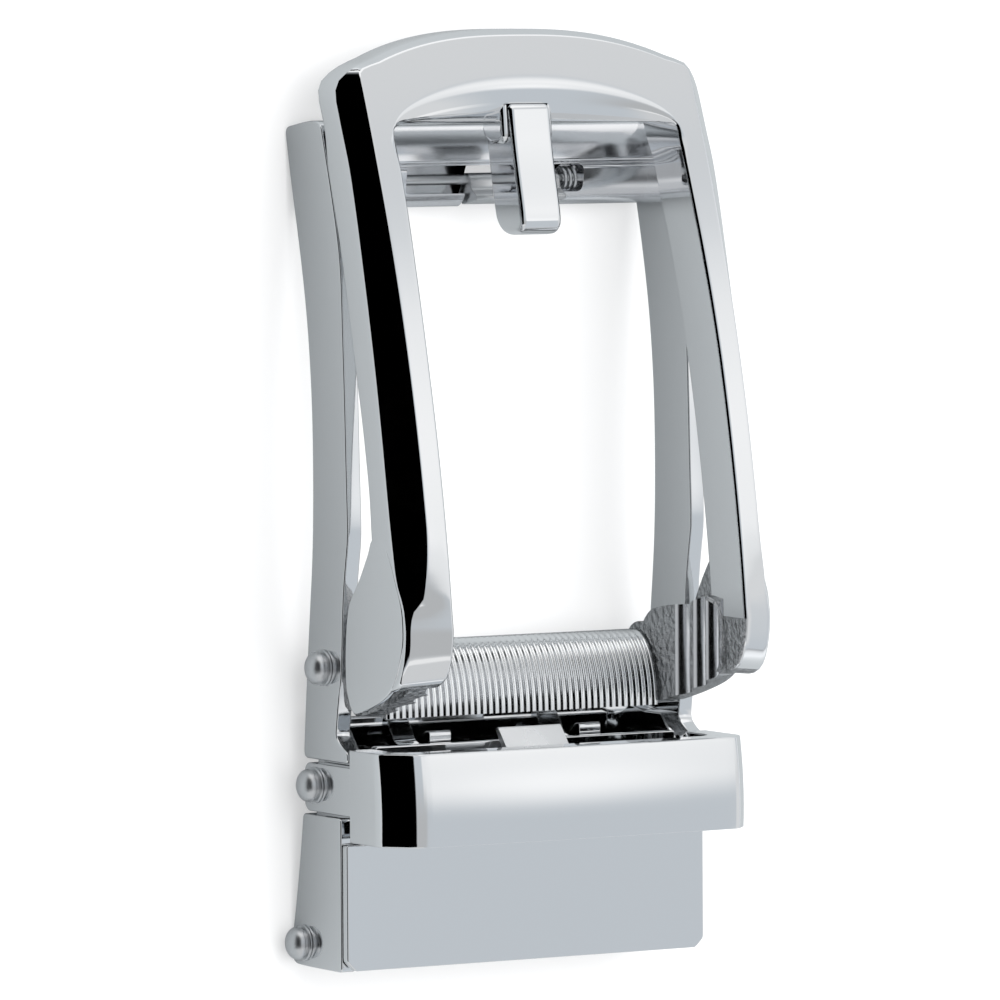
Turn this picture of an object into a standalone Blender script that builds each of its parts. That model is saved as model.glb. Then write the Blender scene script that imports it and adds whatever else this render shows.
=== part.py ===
# Ratchet belt buckle for a 35 mm strap, lying on its back.
# X runs across the strap, Y along it towards the arched end, Z out of the front.
# Every size below is in millimetres; MM turns it into metres.

from math import cos, pi, radians, sin, sqrt

import bpy
import numpy as np

MM = 0.001

# Driving sizes
GAP = 0.3
HALF_WIDTH = 20.0
RAIL_INSIDE = 18.4
CHEEK_INSIDE = 17.4
CHEEK_OUTSIDE = 18.5
BED_HALF_WIDTH = 18.45
TAIL_END = -44.95
ARCH_APEX = 45.0
ROUND_SIDES = 20

# Hinge axes, all along X, as (y, z)
FRAME_PIVOT = (-15.9, 6.9)
KEEPER_RIVET = (-27.3, 5.1)
CLAMP_PIVOT = (-42.7, 2.7)
PAWL_PIVOT = (30.45, 3.0)

# Rivets
RIVET_RADIUS = 0.8
RIVET_BORE = 1.1
RIVET_HEAD_RADIUS = 1.75
RIVET_RIM = 0.35
RIVET_DOME = 1.15
RIVET_SHOULDER = 0.15
DOME_STEPS = 5
BORE_SPAN = (15.0, 21.0)

# Side outline of a rail: (y, z) along the back edge and along the front edge
RAIL_BACK = [(35.7, 0.0), (31.0, 0.95), (24.0, 2.75), (17.0, 4.15), (9.6, 4.9), (2.0, 5.05),
             (-5.0, 4.85), (-12.0, 4.05), (-19.4, 3.3), (-24.8, 2.85)]
RAIL_FRONT = [(-24.8, 11.4), (-23.8, 11.4), (-23.2, 10.1), (-22.4, 9.15), (-20.4, 9.45),
              (-18.6, 9.75), (-17.0, 10.2), (-15.0, 10.4), (-9.3, 10.7), (-6.0, 11.2), (-3.5, 11.7), (-1.5, 11.7),
              (3.0, 11.5), (9.8, 11.3), (17.0, 10.95), (22.6, 10.75), (27.6, 9.6), (35.9, 7.05),
              (36.35, 6.3), (36.4, 4.7)]

# Clamp walls, strap bed and the cheeks inside them
WALL_TOP = -30.15
WALL_FRONT = 10.0
WALL_BACK = [(-30.15, 2.65), (-34.0, 2.1), (-38.5, 1.25), (-41.4, 0.6), (-43.9, 0.0), (-44.7, 0.7)]
BED_END = -21.0
BED_INSET = 0.2
BED_THICKNESS = 1.25
CHEEK_OUTLINE = [(-37.6, 2.2), (-37.6, 9.6), (-24.2, 9.6), (-21.9, 7.6), (-21.9, 3.4)]
LUG_POCKET_TOP = -38.3
LUG_POCKET_INSIDE = 16.7
LUG_POCKET_FRONT = 4.0
STOP_CENTRE = 8.4
STOP_HALF_WIDTH = 1.2
STOP_OUTLINE = [(-24.7, 3.2), (-24.7, 9.1), (-22.25, 9.1), (-22.4, 3.4)]

# Crossbar, with the pocket that holds the pawl, its pin and its spring
CROSSBAR_OUTLINE = [(35.9, 0.6), (35.9, 2.9), (34.6, 4.0), (32.2, 4.0), (31.85, 3.6), (31.5, 4.05),
                    (30.3, 4.0), (29.1, 3.6), (28.2, 2.9), (27.75, 2.0), (28.1, 1.0), (31.5, 0.6)]
SLOT_LEFT = -8.8
SLOT_RIGHT = 11.1
SLOT_TOP = 31.8
SLOT_BOTTOM = 29.1
SLOT_FLOOR = 1.6
SLOT_FRONT = 5.0
CROSSBAR_BOTTOM = 27.0

# Pawl, its pin and spring
PAWL_LEFT = -1.7
PAWL_RIGHT = 8.4
PAWL_OUTLINE = [(31.05, 2.0), (31.05, 3.5), (30.5, 4.0), (29.6, 4.1), (28.9, 5.2), (28.45, 5.2),
                (28.1, 3.4), (28.0, 2.3), (28.6, 1.7), (30.6, 1.6)]
PIN_RADIUS = 0.5
PIN_BORE = 0.8
PIN_LEFT = -10.2
PIN_RIGHT = 12.3
SPRING_RADIUS = 0.98
SPRING_WIRE = 0.17
SPRING_TURNS = 3
SPRING_START = 8.95
SPRING_PITCH = 0.55
SPRING_STEPS = 14
SPRING_SIDES = 6

# Front frame: the face is an arc about X, and the window is cut through it
FRAME_HALF_WIDTH = 20.35
FACE_CENTRE_Y = -30.9
FACE_CENTRE_Z = -158.9
FACE_RADIUS = 185.2
WINDOW_TOP = 35.9
LEG_DEPTH = 6.8
BAR_DEPTH = 3.4
INNER_BEVEL = 0.45
INNER_LEAN = 0.4
BEVEL_SHOULDER = (0.2, 0.15)
SCOOP_HALF_WIDTH = 15.4
SCOOP_HEIGHT = 4.4
SCOOP_DEPTH = 3.0
SCOOP_POWER = 0.75
SCOOP_SAG = 0.38
SCOOP_LIP = 1.2
ARCH_DROP = 3.1
ARCH_HALF_WIDTH = 17.4
ARCH_POWER = 2.6
RIM = 0.6

# Columns: y, half width of the window, half width of the face, depth of the side facet, back edge z
LEG_ROWS = [(-12.2, 16.1, 19.9, 0.5, 16.9),
            (-9.6, 16.1, 19.7, 0.8, 16.9),
            (-8.0, 16.1, 18.9, 2.0, 16.9),
            (-6.8, 16.1, 18.45, 2.35, 16.8),
            (0.4, 16.1, 18.4, 2.4, 16.2),
            (6.2, 16.1, 18.4, 2.4, 15.2),
            (12.0, 16.1, 18.4, 2.4, 14.0),
            (17.8, 16.05, 18.4, 2.35, 12.6),
            (23.6, 15.95, 18.4, 2.3, 11.2),
            (28.0, 15.85, 18.4, 2.3, 9.95),
            (32.0, 15.8, 18.4, 2.25, 8.75)]

# Columns of a foot: y inside, y outside, face z inside, face z outside
FOOT_FACE = 19.9
FOOT_FACET = 0.5
FOOT_BACK = 16.4
FOOT_ROWS = [(-17.1, -17.2, 21.2, 20.6),
             (-17.0, -17.0, 22.6, 22.0),
             (-16.4, -16.3, 23.9, 23.4),
             (-15.1, -15.0, 24.9, 24.5),
             (-13.7, -13.6, 25.3, 25.0)]

# Columns of the upper left corner: x and y of the window, of the face's edge and of the outside
CORNER_FACET = 2.3
CORNER_ROWS = [(15.8, 34.2, 18.4, 35.4, 20.35, 35.6),
               (15.8, 35.1, 18.35, 38.2, 20.35, 38.2),
               (15.7, 35.6, 18.25, 40.0, 20.15, 39.6),
               (15.5, 35.8, 17.9, 41.0, 19.5, 40.7),
               (15.1, 35.9, 17.2, 41.5, 18.4, 41.6)]
ARCH_START = 14.2
ARCH_STEPS = 9
FACE_STRETCH = 1.12
OUTSIDE_STRETCH = 1.15

# Ear of the frame: the layer flush with the rails, and the block between them
EAR_INSIDE = 17.9
EAR_OUTSIDE = 20.3
EAR_OUTLINE = [(-19.9, 11.9), (-18.6, 11.3), (-17.5, 10.85), (-15.0, 10.75), (-11.0, 11.0),
               (-10.1, 11.9), (-8.6, 12.8), (-7.0, 14.3), (-5.6, 15.1), (-4.1, 16.0), (-1.0, 16.6),
               (-1.0, 18.2), (-12.0, 21.0), (-17.4, 20.4), (-18.2, 18.5)]
BLOCK_INSIDE = 15.5
BLOCK_OUTSIDE = 18.1
BLOCK_OUTLINE = [(-20.6, 9.9), (-18.8, 7.2), (-13.1, 7.2), (-11.6, 8.8), (-10.9, 13.3), (-10.7, 15.9),
                 (-9.9, 17.9), (-10.3, 19.9), (-12.4, 20.6), (-16.3, 21.3), (-18.2, 19.3),
                 (-20.0, 14.1)]
LOBE_RADIUS = 3.0
FLUTE_RADIUS = 0.75
FLUTE_PLACES = [13.6, 15.9, 18.2]
FLUTE_SETBACK = 0.3
FLUTE_SPAN = (-22.0, -9.0)

# Prong
PRONG_HALF_WIDTH = 2.25
PRONG_OUTLINE = [(37.8, 8.2), (37.8, 12.4), (33.4, 13.2), (27.2, 14.75), (26.1, 14.7), (25.4, 13.9),
                 (25.2, 12.0), (25.6, 10.6), (26.6, 9.6), (29.5, 8.8), (35.2, 7.7)]
PRONG_EDGE = 0.5
NOTCH_BOTTOM = 34.0

# Ribbed cam bar
BAR_HALF_LENGTH = 15.2
BAR_BOTTOM = -20.8
BAR_TOP = -13.7
BAR_BACK = 5.0
BAR_EDGE_Z = 7.0
BAR_BULGE = 3.8
RIB_PITCH = 0.7
RIB_DEPTH = 0.16
BAR_BORE_END = 12.6
BAR_CHAMFER = 1.2
BAR_SMALL_CHAMFER = 0.6
BAR_ARC_STEPS = 8

# Keeper loop
KEEPER_BOTTOM = -32.35
KEEPER_TOP = -23.45
KEEPER_FRONT = 20.75
KEEPER_BACK = 11.7
KEEPER_INSIDE = 17.6
KEEPER_BAR = 3.5
KEEPER_CORNER = 2.9
KEEPER_INNER_CORNER = 2.0
KEEPER_CROWN = 0.35
KEEPER_ROWS = 7
CORNER_STEPS = 6
TAB_INSIDE = 18.8
TAB_OUTLINE = [(-29.85, 11.9), (-29.85, 3.6), (-29.3, 3.05), (-25.6, 3.05), (-25.1, 3.6), (-25.1, 11.9)]

# Clamp flap
FLAP_BACK = 10.3
FLAP_FRONT = 11.2
FLAP_NECK = 16.8
FLAP_TOP = -24.6
FLAP_CHAMFER = 0.9
FLAP_SETBACK = 0.2
LUG_INSIDE = 17.3
LUG_OUTSIDE = 18.1
LUG_OUTLINE = [(-44.6, 10.6), (-44.6, 2.7), (-44.1, 1.2), (-42.7, 0.75), (-41.2, 1.4), (-40.7, 2.7),
               (-38.9, 8.5), (-38.9, 10.6)]
TONGUE_HALF_WIDTH = 3.5
TONGUE_OUTLINE = [(-31.2, 10.7), (-29.2, 12.8), (-25.2, 13.85), (-24.4, 13.75), (-22.0, 11.65),
                  (-22.25, 11.15), (-24.5, 12.75), (-24.8, 12.4), (-24.8, 10.6)]
TOOTH_COUNT = 10
TOOTH_PITCH = 3.0
TOOTH_TIP = 7.0
TOOTH_ROOT = 8.6
TOOTH_BAR = (-30.2, -28.7)
TOOTH_OVERLAP = 0.3

# Finishes: name, colour, roughness
CHROME = ("chrome", (0.80, 0.81, 0.83, 1.0), 0.06)
STEEL = ("steel", (0.68, 0.68, 0.70, 1.0), 0.22)


def clear_scene():
    for item in list(bpy.data.objects):
        bpy.data.objects.remove(item, do_unlink=True)


def material(finish):
    name, colour, roughness = finish
    found = bpy.data.materials.get(name)
    if found:
        return found
    made = bpy.data.materials.new(name)
    made.use_nodes = True
    shader = made.node_tree.nodes["Principled BSDF"]
    shader.inputs["Base Color"].default_value = colour
    shader.inputs["Metallic"].default_value = 1.0
    shader.inputs["Roughness"].default_value = roughness
    return made


def solid(name, points, faces, finish=CHROME):
    """A mesh object from points in millimetres."""
    mesh = bpy.data.meshes.new(name)
    mesh.from_pydata([tuple(MM * c for c in point) for point in points], [], faces)
    mesh.update()
    made = bpy.data.objects.new(name, mesh)
    bpy.context.collection.objects.link(made)
    made.data.materials.append(material(finish))
    return made


def signed_area(outline):
    total = 0.0
    for (a, b), (c, d) in zip(outline, outline[1:] + outline[:1]):
        total += a * d - c * b
    return total / 2.0


def prism(name, outline, low, high, axis="X", finish=CHROME):
    """An outline extruded along an axis. Its columns are (y, z) for X, (z, x) for Y and (x, y) for Z."""
    turned = outline if signed_area(outline) > 0 else outline[::-1]
    shift = "XYZ".index(axis)
    count = len(turned)
    points = []
    for t in (low, high):
        for u, v in turned:
            cycle = (t, u, v)
            points.append(tuple(cycle[(k - shift) % 3] for k in range(3)))
    faces = [tuple(range(count))[::-1], tuple(range(count, 2 * count))]
    for i in range(count):
        j = (i + 1) % count
        faces.append((i, j, count + j, count + i))
    return solid(name, points, faces, finish)


def loft(name, sections, finish=CHROME):
    """Closed sections with the same number of points, joined in order and capped at both ends."""
    count = len(sections[0])
    points = [p for section in sections for p in section]
    faces = [tuple(range(count))[::-1]]
    for row in range(len(sections) - 1):
        for i in range(count):
            j = (i + 1) % count
            a = row * count
            b = a + count
            faces.append((a + i, a + j, b + j, b + i))
    last = (len(sections) - 1) * count
    faces.append(tuple(range(last, last + count)))
    return solid(name, points, faces, finish)


def box(low, high, back, front):
    return [(low, back), (high, back), (high, front), (low, front)]


def disc(u, v, radius, sides=ROUND_SIDES):
    return [(u + radius * cos(2 * pi * i / sides), v + radius * sin(2 * pi * i / sides))
            for i in range(sides)]


def cylinder(name, centre, radius, low, high, finish=CHROME):
    return prism(name, disc(centre[0], centre[1], radius), low, high, "X", finish)


def merge(base, other, operation="UNION"):
    """Combine two solids for good and drop the second."""
    step = base.modifiers.new(operation.lower(), "BOOLEAN")
    step.operation = operation
    step.solver = "EXACT"
    step.object = other
    graph = bpy.context.evaluated_depsgraph_get()
    mesh = bpy.data.meshes.new_from_object(base.evaluated_get(graph))
    base.modifiers.clear()
    base.data = mesh
    bpy.data.objects.remove(other, do_unlink=True)
    return base


def cut(base, other):
    return merge(base, other, "DIFFERENCE")


def span(side, inside, outside):
    """The low and high x of a layer on the left (side -1) or right (side 1)."""
    return sorted((side * inside, side * outside))


def smooth(item, angle=35.0):
    item.data.shade_smooth()
    item.data.set_sharp_from_angle(angle=radians(angle))


def hinge_origin(item, centre):
    """Move an object's origin to a hinge axis, with its mesh left where it is."""
    shift = (0.0, MM * centre[0], MM * centre[1])
    for vertex in item.data.vertices:
        vertex.co = [c - s for c, s in zip(vertex.co, shift)]
    item.location = shift


def read(rows, y, column):
    """A value from a table that is sorted by its first column."""
    return float(np.interp(y, [row[0] for row in rows], [row[column] for row in rows]))


def back_edge(y):
    """The z of the chassis's back, from the tail to the rails' upper end."""
    rows = sorted(WALL_BACK[:-1] + RAIL_BACK)
    return read(rows, y, 1)


def build_chassis():
    rail = RAIL_BACK[::-1] + RAIL_FRONT[::-1]
    wall = WALL_BACK + [(TAIL_END, 1.5), (TAIL_END, WALL_FRONT), (WALL_TOP, WALL_FRONT)]
    bed_rows = [row[0] for row in sorted(WALL_BACK[1:-1] + RAIL_BACK[-1:])] + [BED_END]
    bed_back = [(y, back_edge(y) + BED_INSET) for y in bed_rows]
    bed_front = [(y, z + BED_THICKNESS) for y, z in bed_back]
    bed = bed_back + bed_front[::-1]

    chassis = prism("chassis", bed, -BED_HALF_WIDTH, BED_HALF_WIDTH)
    merge(chassis, prism("crossbar", CROSSBAR_OUTLINE, -BED_HALF_WIDTH, BED_HALF_WIDTH))
    for side in (-1, 1):
        pocket = box(TAIL_END - 1, LUG_POCKET_TOP, -1, LUG_POCKET_FRONT)
        cut(chassis, prism("pocket", pocket, *span(side, LUG_POCKET_INSIDE, HALF_WIDTH)))
        merge(chassis, prism("cheek", CHEEK_OUTLINE, *span(side, CHEEK_INSIDE, CHEEK_OUTSIDE)))
        merge(chassis, prism("rail", rail, *span(side, RAIL_INSIDE, HALF_WIDTH)))
        merge(chassis, prism("wall", wall, *span(side, RAIL_INSIDE, HALF_WIDTH)))
        stop = span(side, STOP_CENTRE - STOP_HALF_WIDTH, STOP_CENTRE + STOP_HALF_WIDTH)
        merge(chassis, prism("stop", STOP_OUTLINE, *stop))
        for centre in (FRAME_PIVOT, KEEPER_RIVET, CLAMP_PIVOT):
            cut(chassis, cylinder("bore", centre, RIVET_BORE, *span(side, *BORE_SPAN)))
    pocket = box(SLOT_BOTTOM, SLOT_TOP, SLOT_FLOOR, SLOT_FRONT)
    cut(chassis, prism("pin_pocket", pocket, SLOT_LEFT, SLOT_RIGHT))
    slot = box(CROSSBAR_BOTTOM, SLOT_TOP, 0.0, SLOT_FRONT)
    cut(chassis, prism("pawl_slot", slot, PAWL_LEFT - GAP, PAWL_RIGHT + GAP))
    cut(chassis, cylinder("pin_bore", PAWL_PIVOT, PIN_BORE, PIN_LEFT - GAP, PIN_RIGHT + GAP))
    smooth(chassis)
    return chassis


def face_z(y):
    """Height of the frame's curved face."""
    return FACE_CENTRE_Z + sqrt(FACE_RADIUS ** 2 - (y - FACE_CENTRE_Y) ** 2)


def arch_y(x):
    """The frame's outline along the top."""
    return ARCH_APEX - ARCH_DROP * (abs(x) / ARCH_HALF_WIDTH) ** ARCH_POWER


def scoop(x):
    """How far the hollow above the window reaches at x, from 0 to 1."""
    return max(0.0, 1.0 - (x / SCOOP_HALF_WIDTH) ** 2) ** SCOOP_POWER


def leg_section(inside, outside, z_inside, z_outside, facet, z_back, window, face):
    """A section across the left leg: inner side, bevel, face, facet, outer side and back."""
    return [(-window - INNER_LEAN, inside, z_inside - LEG_DEPTH),
            (-window, inside, z_inside - INNER_BEVEL),
            (-window - BEVEL_SHOULDER[0], inside, z_inside - BEVEL_SHOULDER[1]),
            (-window - INNER_BEVEL, inside, z_inside),
            (-face, outside, z_outside),
            (-FRAME_HALF_WIDTH, outside, z_outside - facet),
            (-FRAME_HALF_WIDTH, outside, z_back)]


def top_section(x_in, y_in, x_face, y_face, x_out, y_out, facet):
    """A section across the top bar, with the hollow above the window."""
    reach = scoop(x_in)
    depth = INNER_BEVEL + SCOOP_DEPTH * reach
    height = INNER_BEVEL + SCOOP_HEIGHT * reach
    x_scoop = x_in + (x_face - x_in) * height / (y_face - y_in)
    y_half = y_in + height / 2
    z_in = face_z(y_in)
    return [(x_in, y_in + INNER_LEAN, min(z_in - LEG_DEPTH, z_in - depth - SCOOP_LIP)),
            (x_in, y_in, z_in - depth),
            ((x_in + x_scoop) / 2, y_half, face_z(y_half) - depth * SCOOP_SAG),
            (x_scoop, y_in + height, face_z(y_in + height)),
            (x_face, y_face, face_z(y_face)),
            (x_out, y_out, face_z(y_out) - facet),
            (x_out, y_out, face_z(y_out) - facet - BAR_DEPTH)]


def frame_sections():
    """Sections of the left half of the ring, from the foot to the middle of the arch."""
    sections = []
    for inside, outside, z_inside, z_outside in FOOT_ROWS:
        shape = (FOOT_FACET, FOOT_BACK, LEG_ROWS[0][1], FOOT_FACE)
        sections.append(leg_section(inside, outside, z_inside, z_outside, *shape))
    for y, window, face, facet, z_back in LEG_ROWS:
        sections.append(leg_section(y, y, face_z(y), face_z(y), facet, z_back, window, face))
    facets = np.linspace(CORNER_FACET, RIM, len(CORNER_ROWS))
    for row, facet in zip(CORNER_ROWS, facets):
        x_in, y_in, x_face, y_face, x_out, y_out = row
        sections.append(top_section(-x_in, y_in, -x_face, y_face, -x_out, y_out, facet))
    for x in np.linspace(-ARCH_START, 0.0, ARCH_STEPS):
        x_face = x * FACE_STRETCH
        x_out = x * OUTSIDE_STRETCH
        sections.append(top_section(x, WINDOW_TOP, x_face, arch_y(x_face) - RIM, x_out, arch_y(x_out), RIM))
    return sections


def mirrored(section):
    return [(-x, y, z) for x, y, z in section]


def build_frame():
    left = frame_sections()
    ring = left + [mirrored(section) for section in left[:-1][::-1]]
    frame = loft("front_frame", ring, CHROME)
    for side in (-1, 1):
        merge(frame, prism("ear", EAR_OUTLINE, *span(side, EAR_INSIDE, EAR_OUTSIDE)))
        block = prism("block", BLOCK_OUTLINE, *span(side, BLOCK_INSIDE, BLOCK_OUTSIDE))
        merge(block, cylinder("lobe", FRAME_PIVOT, LOBE_RADIUS, *span(side, BLOCK_INSIDE, BLOCK_OUTSIDE)))
        for z in FLUTE_PLACES:
            groove = disc(z, side * (BLOCK_INSIDE - FLUTE_SETBACK), FLUTE_RADIUS, ROUND_SIDES // 2)
            cut(block, prism("flute", groove, *FLUTE_SPAN, "Y"))
        merge(frame, block)
        cut(frame, cylinder("bore", FRAME_PIVOT, RIVET_BORE, *span(side, *BORE_SPAN)))
    half = PRONG_HALF_WIDTH + GAP
    notch = box(-half, half, NOTCH_BOTTOM, PRONG_OUTLINE[0][0] + GAP)
    cut(frame, prism("notch", notch, 0.0, FACE_RADIUS, "Z"))
    smooth(frame)
    hinge_origin(frame, FRAME_PIVOT)
    return frame


def build_prong():
    prong = prism("prong", PRONG_OUTLINE, -PRONG_HALF_WIDTH, PRONG_HALF_WIDTH)
    bevel = prong.modifiers.new("edges", "BEVEL")
    bevel.width = PRONG_EDGE * MM
    bevel.segments = 2
    bevel.limit_method = "ANGLE"
    bevel.angle_limit = radians(60)
    smooth(prong)
    return prong


def bar_outline(depth):
    """The cam bar's section, with its curved side lowered by a depth."""
    outline = [(BAR_BOTTOM, BAR_BACK + BAR_CHAMFER), (BAR_BOTTOM, BAR_EDGE_Z + BAR_BULGE - GAP)]
    for i in range(BAR_ARC_STEPS + 1):
        turn = pi / 2 * i / BAR_ARC_STEPS
        outline.append((BAR_BOTTOM + (BAR_TOP - BAR_BOTTOM - depth) * sin(turn),
                        BAR_EDGE_Z + (BAR_BULGE - depth) * cos(turn)))
    outline += [(BAR_TOP, BAR_BACK + BAR_SMALL_CHAMFER), (BAR_TOP - BAR_SMALL_CHAMFER, BAR_BACK),
                (BAR_BOTTOM + BAR_CHAMFER, BAR_BACK)]
    return outline[::-1]


def build_bar():
    count = int(2 * BAR_HALF_LENGTH / RIB_PITCH)
    sections = []
    for i in range(2 * count + 1):
        x = -BAR_HALF_LENGTH + i * BAR_HALF_LENGTH / count
        depth = RIB_DEPTH if i % 2 == 0 else 0.0
        sections.append([(x, y, z) for y, z in bar_outline(depth)])
    bar = loft("ribbed_bar", sections, CHROME)
    for side in (-1, 1):
        cut(bar, cylinder("bore", FRAME_PIVOT, RIVET_BORE, *span(side, BAR_BORE_END, HALF_WIDTH)))
    smooth(bar, 20.0)
    hinge_origin(bar, FRAME_PIVOT)
    return bar


def keeper_section(y):
    """The loop's section across the strap, with a crowned front."""
    middle = (KEEPER_TOP + KEEPER_BOTTOM) / 2
    half = (KEEPER_TOP - KEEPER_BOTTOM) / 2
    front = KEEPER_FRONT - KEEPER_CROWN * ((y - middle) / half) ** 2
    rear = KEEPER_FRONT - KEEPER_BAR
    outer = []
    inner = []
    for i in range(CORNER_STEPS + 1):
        turn = pi / 2 * i / CORNER_STEPS
        outer.append((HALF_WIDTH - KEEPER_CORNER * (1 - cos(turn)), front - KEEPER_CORNER * (1 - sin(turn))))
        inner.append((KEEPER_INSIDE - KEEPER_INNER_CORNER * (1 - cos(turn)),
                      rear - KEEPER_INNER_CORNER * (1 - sin(turn))))
    right = [(HALF_WIDTH, KEEPER_BACK)] + outer
    left = [(-x, z) for x, z in right[::-1]]
    under_left = [(-KEEPER_INSIDE, KEEPER_BACK)] + [(-x, z) for x, z in inner]
    under_right = inner[::-1] + [(KEEPER_INSIDE, KEEPER_BACK)]
    outline = right + left + under_left + under_right
    return [(x, y, z) for x, z in outline]


def build_keeper():
    ys = np.linspace(KEEPER_TOP, KEEPER_BOTTOM, KEEPER_ROWS)
    keeper = loft("keeper", [keeper_section(float(y)) for y in ys])
    for side in (-1, 1):
        merge(keeper, prism("tab", TAB_OUTLINE, *span(side, TAB_INSIDE, HALF_WIDTH)))
        cut(keeper, cylinder("bore", KEEPER_RIVET, RIVET_BORE, *span(side, *BORE_SPAN)))
    smooth(keeper)
    return keeper


def build_flap():
    foot = HALF_WIDTH - FLAP_CHAMFER
    bottom = TAIL_END + FLAP_SETBACK
    shoulder = KEEPER_BOTTOM - GAP
    plan = [(-foot, bottom), (foot, bottom), (HALF_WIDTH, bottom + FLAP_CHAMFER),
            (HALF_WIDTH, shoulder), (FLAP_NECK, shoulder), (FLAP_NECK, FLAP_TOP),
            (-FLAP_NECK, FLAP_TOP), (-FLAP_NECK, shoulder), (-HALF_WIDTH, shoulder),
            (-HALF_WIDTH, bottom + FLAP_CHAMFER)]
    flap = prism("clamp_flap", plan, FLAP_BACK, FLAP_FRONT, "Z")
    merge(flap, prism("tongue", TONGUE_OUTLINE, -TONGUE_HALF_WIDTH, TONGUE_HALF_WIDTH))
    reach = TOOTH_COUNT * TOOTH_PITCH / 2
    teeth = [(FLAP_BACK + TOOTH_OVERLAP, -reach)]
    for i in range(TOOTH_COUNT):
        teeth.append((TOOTH_ROOT, -reach + i * TOOTH_PITCH))
        teeth.append((TOOTH_TIP, -reach + (i + 0.5) * TOOTH_PITCH))
    teeth += [(TOOTH_ROOT, reach), (FLAP_BACK + TOOTH_OVERLAP, reach)]
    merge(flap, prism("teeth", teeth, *TOOTH_BAR, "Y"))
    for side in (-1, 1):
        merge(flap, prism("lug", LUG_OUTLINE, *span(side, LUG_INSIDE, LUG_OUTSIDE)))
        cut(flap, cylinder("bore", CLAMP_PIVOT, RIVET_BORE, *span(side, *BORE_SPAN)))
    smooth(flap)
    hinge_origin(flap, CLAMP_PIVOT)
    return flap


def build_pawl():
    pawl = prism("pawl", PAWL_OUTLINE, PAWL_LEFT, PAWL_RIGHT, "X", STEEL)
    cut(pawl, cylinder("bore", PAWL_PIVOT, PIN_BORE, PAWL_LEFT - 1, PAWL_RIGHT + 1))
    smooth(pawl)
    hinge_origin(pawl, PAWL_PIVOT)
    pin = cylinder("pawl_pin", PAWL_PIVOT, PIN_RADIUS, PIN_LEFT, PIN_RIGHT, STEEL)
    smooth(pin)


def build_spring():
    """A close coil round the pin, beside the pawl."""
    sections = []
    for i in range(SPRING_TURNS * SPRING_STEPS + 1):
        turn = 2 * pi * i / SPRING_STEPS
        x = SPRING_START + SPRING_PITCH * i / SPRING_STEPS
        ring = []
        for k in range(SPRING_SIDES):
            lean = 2 * pi * k / SPRING_SIDES
            radius = SPRING_RADIUS + SPRING_WIRE * cos(lean)
            ring.append((x + SPRING_WIRE * sin(lean),
                         PAWL_PIVOT[0] + radius * cos(turn),
                         PAWL_PIVOT[1] + radius * sin(turn)))
        sections.append(ring[::-1])
    spring = loft("pawl_spring", sections, STEEL)
    smooth(spring)


def build_rivet(name, centre, side, inner_end):
    """A domed rivet: its shank along X and its head outside the wall."""
    base = HALF_WIDTH + GAP
    dome = RIVET_HEAD_RADIUS - RIVET_SHOULDER
    profile = [(inner_end, RIVET_RADIUS), (base, RIVET_RADIUS), (base, RIVET_HEAD_RADIUS),
               (base + RIVET_RIM, RIVET_HEAD_RADIUS)]
    for i in range(1, DOME_STEPS):
        turn = pi / 2 * i / DOME_STEPS
        profile.append((base + RIVET_RIM + RIVET_DOME * sin(turn), dome * cos(turn)))
    points = [(side * inner_end, centre[0], centre[1])]
    for x, radius in profile:
        for y, z in disc(centre[0], centre[1], radius):
            points.append((side * x, y, z))
    points.append((side * (base + RIVET_RIM + RIVET_DOME), centre[0], centre[1]))
    faces = []
    for i in range(ROUND_SIDES):
        j = (i + 1) % ROUND_SIDES
        faces.append((0, 1 + j, 1 + i))
        for row in range(len(profile) - 1):
            a = 1 + row * ROUND_SIDES
            b = a + ROUND_SIDES
            faces.append((a + i, a + j, b + j, b + i))
        last = 1 + (len(profile) - 1) * ROUND_SIDES
        faces.append((last + i, last + j, len(points) - 1))
    if side < 0:
        faces = [face[::-1] for face in faces]
    smooth(solid(name, points, faces, STEEL))


def build_rivets():
    for side, word in ((-1, "left"), (1, "right")):
        build_rivet("rivet_pivot_" + word, FRAME_PIVOT, side, BAR_BORE_END + GAP)
        build_rivet("rivet_keeper_" + word, KEEPER_RIVET, side, CHEEK_INSIDE)
        build_rivet("rivet_clamp_" + word, CLAMP_PIVOT, side, LUG_INSIDE)


def main():
    clear_scene()
    build_chassis()
    build_frame()
    build_prong()
    build_bar()
    build_keeper()
    build_flap()
    build_pawl()
    build_spring()
    build_rivets()


main()
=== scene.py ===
# The looks of a chromed ratchet belt buckle for a 35 mm strap, lying on its back.
# X runs across the strap, Y along it towards the arched end, Z out of the front.
# Sizes are in millimetres, unless a comment says metres; MM turns them into metres.

from math import asin, ceil, cos, degrees, pi, radians, sin, sqrt

import bmesh
import bpy
import numpy as np
from mathutils import Matrix, Vector


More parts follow.
